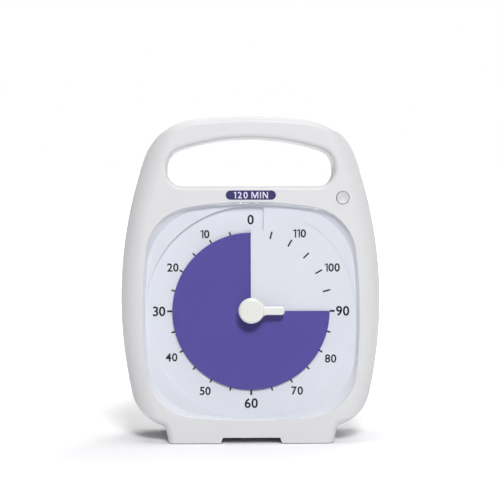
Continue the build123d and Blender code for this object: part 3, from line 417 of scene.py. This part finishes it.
def drawTicks(plan):  # from five minutes round to a hundred and fifteen
    shape = bmesh.new()
    for turn in range(plan["every"], 360, plan["every"]):
        quarter = turn % 90 == 0
        inner = plan["quarterInner"] if quarter else plan["inner"]
        outer = plan["quarterOuter"] if quarter else plan["outer"]
        half = (plan["quarterWidth"] if quarter else plan["width"]) / 2
        along = Vector((-sin(radians(turn)), cos(radians(turn)), 0))
        across = Vector((along.y, -along.x, 0))
        corners = [(inner, -half), (inner, half), (outer, half), (outer, -half)]
        shape.faces.new([shape.verts.new(along * r + across * side) for r, side in corners])
    return shape


numerals = {
    "radius": 49.3, "cap": 4.5, "quarterCap": 5.3,  # the larger figures are at each half hour
    "spacing": 0.07, "wordGap": 0.3, "weight": 0.023,  # shares of a figure's height
    "nudge": {10: (0, -1.2), 20: (0.8, -1.1), 80: (0, -0.9), 100: (1.1, -1.3), 110: (1.6, -1.0)},
    "drawn": {  # outlines of a unit's height: a one with a flag
        "1": [(0.38, 1), (0.27, 1), (0, 0.86), (0.03, 0.75), (0.22, 0.83), (0.22, 0), (0.38, 0)],
    },
}
labelWords = {
    "words": "120 MIN", "cap": 3.5, "spacing": 0.25, "wordGap": 0.32, "weight": 0.016,
    "drawn": {
        "1": [(0.36, 1), (0.26, 1), (0, 0.88), (0.03, 0.77), (0.2, 0.84), (0.2, 0), (0.36, 0)],
        "M": [
            (0, 0), (0, 1), (0.22, 1), (0.53, 0.33), (0.84, 1), (1.06, 1), (1.06, 0),
            (0.91, 0), (0.91, 0.71), (0.59, 0), (0.47, 0), (0.15, 0.71), (0.15, 0),
        ],
        "I": [(0, 0), (0, 1), (0.16, 1), (0.16, 0)],
        "N": [
            (0, 0), (0, 1), (0.19, 1), (0.66, 0.29), (0.66, 1),
            (0.81, 1), (0.81, 0), (0.62, 0), (0.15, 0.71), (0.15, 0),
        ],
    },
}
letterShapes = {}


def letterShape(letter, plan):  # one letter, a unit high, with its left edge at zero
    key = letter, plan["weight"]
    if key in letterShapes:
        return letterShapes[key]
    if letter in plan["drawn"]:
        corners = plan["drawn"][letter]
        faces = [tuple(range(len(corners)))]
    else:
        curve = bpy.data.curves.new("letter", "FONT")
        curve.body = letter
        curve.resolution_u = 6  # smooth enough for a letter of a few millimetres
        curve.offset = plan["weight"]
        holder = bpy.data.objects.new("letter", curve)
        bpy.context.scene.collection.objects.link(holder)
        bpy.context.view_layer.update()
        current = bpy.context.evaluated_depsgraph_get()
        mesh = bpy.data.meshes.new_from_object(holder.evaluated_get(current))
        left = min(v.co.x for v in mesh.vertices)
        low = min(v.co.y for v in mesh.vertices)
        height = max(v.co.y for v in mesh.vertices) - low
        corners = [((v.co.x - left) / height, (v.co.y - low) / height) for v in mesh.vertices]
        faces = [tuple(p.vertices) for p in mesh.polygons]
        bpy.data.objects.remove(holder)
        bpy.data.meshes.remove(mesh)
    letterShapes[key] = corners, faces
    return letterShapes[key]


def drawWords(words, cap, centre, plan):  # letters side by side, centred on a point
    shape = bmesh.new()
    reach = 0.0
    for letter in words:
        if letter == " ":
            reach += plan["wordGap"] * cap
            continue
        corners, faces = letterShape(letter, plan)
        made = [shape.verts.new((reach + x * cap, y * cap, 0)) for x, y in corners]
        for face in faces:
            shape.faces.new([made[i] for i in face])
        bmesh.ops.delete(shape, geom=[v for v in made if not v.link_faces], context="VERTS")
        reach += (max(x for x, y in corners) + plan["spacing"]) * cap
    middle = Vector(((reach - plan["spacing"] * cap) / 2, cap / 2, 0))
    bmesh.ops.translate(shape, verts=shape.verts, vec=Vector((*centre, 0)) - middle)
    return shape


def cutAtSlit(shape):  # each half of a figure over the slit lies at its own level
    everything = [*shape.verts, *shape.edges, *shape.faces]
    cut = bmesh.ops.bisect_plane(shape, geom=everything, plane_co=(0, 0, 0), plane_no=(1, 0, 0))["geom_cut"]
    bmesh.ops.split_edges(shape, edges=[part for part in cut if isinstance(part, bmesh.types.BMEdge)])
    return shape


plateTree = treeOf("dial_plate")
underLens = -2.36  # the figures drop onto the plate from just behind the lens
overLabel = 1.0  # and the words onto their label from in front of it
layPrint("scale_ticks", drawTicks(ticks), plateTree, underLens, inkLayer, ink)
for minutes in range(0, 120, 10):
    turn = radians(minutes * 3)
    nudgeX, nudgeY = numerals["nudge"].get(minutes, (0, 0))
    centre = (-sin(turn) * numerals["radius"] + nudgeX, cos(turn) * numerals["radius"] + nudgeY)
    cap = numerals["quarterCap"] if minutes % 30 == 0 else numerals["cap"]
    drawing = drawWords(str(minutes), cap, centre, numerals)
    if minutes == 0:
        drawing = cutAtSlit(drawing)
    layPrint(f"numeral_{minutes}", drawing, plateTree, underLens, inkLayer, ink)

labelMiddle = (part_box("range_label")[0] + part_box("range_label")[1]) / 2 - dialCentre
labelCentre = (0, labelMiddle.dot(upwards) / mm)
drawing = drawWords(labelWords["words"], labelWords["cap"], labelCentre, labelWords)
layPrint("label_words", drawing, treeOf("range_label"), overLabel, inkLayer, paleInk)
print("scale and label printed")


# Floor, lights and background

floorLook = {  # painted sweep of a studio: white and quite matt
    "size": 8.0, "colour": "#FBFBFC", "seenLevel": 1.06, "toLight": "#E6E6EA",
    "footprint": (0.052, 0.020),  # half of the feet's width and depth, in metres
    "glows": [((0.06, 0.2), 0.5), ((0.10, 0.7), 0.6)],  # metres from the feet, and the strength it grows to
    "shader": {"Roughness": 0.9},
}
backgroundLook = {
    "toLight": "#FAFAFB", "lightLevel": 0.095,
    "lean": (0.03, 0.14, 0.12),  # brighter to the right, behind and above
    "mirrored": (0.1, 1.0), "mirroredFrom": (-0.2, 0.5),  # the dim half of the room in front, by mirror
}
lampsAim = (0, 0, 0.08)  # about the middle of the dial
lamps = {
    "key": {"place": (0.3, -2.77, 2.05), "size": 0.8, "watts": 78},
    "side": {"place": (1.5, -0.2, 0.7), "size": 0.9, "watts": 1.2},
    "top": {"place": (0.0, 0.1, 1.5), "size": 0.9, "watts": 9},
    "rear": {"place": (1.2, 2.2, 1.9), "size": 1.2, "watts": 20},
}


def seenDirectly(tree):  # one for rays that reach the camera straight, by mirror or through glass
    path = addNode(tree, "ShaderNodeLightPath").outputs
    level = path["Is Camera Ray"]
    for other in ("Is Glossy Ray", "Is Transmission Ray"):
        level = addNode(tree, "ShaderNodeMath", {0: level, 1: path[other]}, operation="MAXIMUM").outputs[0]
    unscattered = {0: level, 1: path["Diffuse Depth"]}
    return addNode(tree, "ShaderNodeMath", unscattered, operation="SUBTRACT", use_clamp=True).outputs[0]


def makeFloor(look):
    mesh = bpy.data.meshes.new("floor")
    half = look["size"] / 2
    corners = [(-half, -half, 0), (half, -half, 0), (half, half, 0), (-half, half, 0)]
    mesh.from_pydata(corners, [], [(0, 1, 2, 3)])
    floor = bpy.data.objects.new("floor", mesh)
    bpy.context.scene.collection.objects.link(floor)
    material, tree, shader, places = startMaterial("whiteSweep", look)
    seen = seenDirectly(tree)
    bright = [part * look["seenLevel"] for part in fromHex(look["colour"])]
    colours = {0: seen, 6: fromHex(look["toLight"]), 7: bright}
    tint = addNode(tree, "ShaderNodeMix", colours, data_type="RGBA")
    tree.links.new(tint.outputs[2], shader.inputs["Base Color"])
    # painted light: an emission seen only by the camera, by mirror or through glass, that grows with the
    # distance from the feet, so the object keeps its shadow near them while the far part of that shadow is
    # washed out
    foot = (*look["footprint"], 0)
    aside = addNode(tree, "ShaderNodeVectorMath", {0: places}, operation="ABSOLUTE").outputs[0]
    past = addNode(tree, "ShaderNodeVectorMath", {0: aside, 1: foot}, operation="SUBTRACT").outputs[0]
    clear = addNode(tree, "ShaderNodeVectorMath", {0: past, 1: (0, 0, 0)}, operation="MAXIMUM").outputs[0]
    away = addNode(tree, "ShaderNodeVectorMath", {0: clear}, operation="LENGTH").outputs["Value"]
    levels = []
    for (near, far), strength in look["glows"]:
        ramp = {"Value": away, "From Min": near, "From Max": far, "To Max": strength}
        levels.append(addNode(tree, "ShaderNodeMapRange", ramp).outputs["Result"])
    level = addNode(tree, "ShaderNodeMath", {0: levels[0], 1: levels[1]}, operation="ADD").outputs[0]
    strength = addNode(tree, "ShaderNodeMath", {0: seen, 1: level}, operation="MULTIPLY").outputs[0]
    glow = addNode(tree, "ShaderNodeEmission", {"Strength": strength})
    both = addNode(tree, "ShaderNodeAddShader", {0: shader.outputs["BSDF"], 1: glow.outputs["Emission"]})
    tree.links.new(both.outputs["Shader"], tree.nodes["Material Output"].inputs["Surface"])
    mesh.materials.append(material)


def makeBackground(look):
    world = bpy.data.worlds.new("studio")
    world.use_nodes = True
    tree = world.node_tree
    lighting = tree.nodes["Background"]
    lighting.inputs["Color"].default_value = fromHex(look["toLight"])
    direction = addNode(tree, "ShaderNodeTexCoord").outputs["Generated"]
    slope = {0: direction, 1: look["lean"]}
    lean = addNode(tree, "ShaderNodeVectorMath", slope, operation="DOT_PRODUCT").outputs["Value"]
    level = addNode(tree, "ShaderNodeMath", {0: lean, 1: look["lightLevel"]}, operation="ADD").outputs[0]
    tree.links.new(level, lighting.inputs["Strength"])
    # by mirror the room in front of the object is dimmer than the sweep behind it
    depth = addNode(tree, "ShaderNodeSeparateXYZ", {"Vector": direction}).outputs["Y"]
    (front, behind), (low, high) = look["mirroredFrom"], look["mirrored"]
    ramp = {"Value": depth, "From Min": front, "From Max": behind, "To Min": low, "To Max": high}
    mirrored = addNode(tree, "ShaderNodeMapRange", ramp).outputs["Result"]
    byMirror = addNode(tree, "ShaderNodeLightPath").outputs["Is Glossy Ray"]
    white = addNode(tree, "ShaderNodeMix", {0: byMirror, 2: 1.0, 3: mirrored}, data_type="FLOAT").outputs[0]
    seen = addNode(tree, "ShaderNodeBackground", {"Color": (1, 1, 1, 1), "Strength": white})
    both = addNode(
        tree, "ShaderNodeMixShader",
        {0: seenDirectly(tree), 1: lighting.outputs["Background"], 2: seen.outputs["Background"]},
    )
    tree.links.new(both.outputs["Shader"], tree.nodes["World Output"].inputs["Surface"])
    bpy.context.scene.world = world


def makeLamps(plans, aim):
    for name, plan in plans.items():
        light = bpy.data.lights.new(name, "AREA")
        light.energy = plan["watts"]
        light.size = plan["size"]
        lamp = bpy.data.objects.new(name, light)
        bpy.context.scene.collection.objects.link(lamp)
        lamp.location = plan["place"]
        lamp.rotation_euler = (Vector(plan["place"]) - Vector(aim)).to_track_quat("Z", "Y").to_euler()


makeFloor(floorLook)
makeBackground(backgroundLook)
makeLamps(lamps, lampsAim)
bpy.context.scene.view_settings.view_transform = "Standard"
print("floor, background and lamps set")
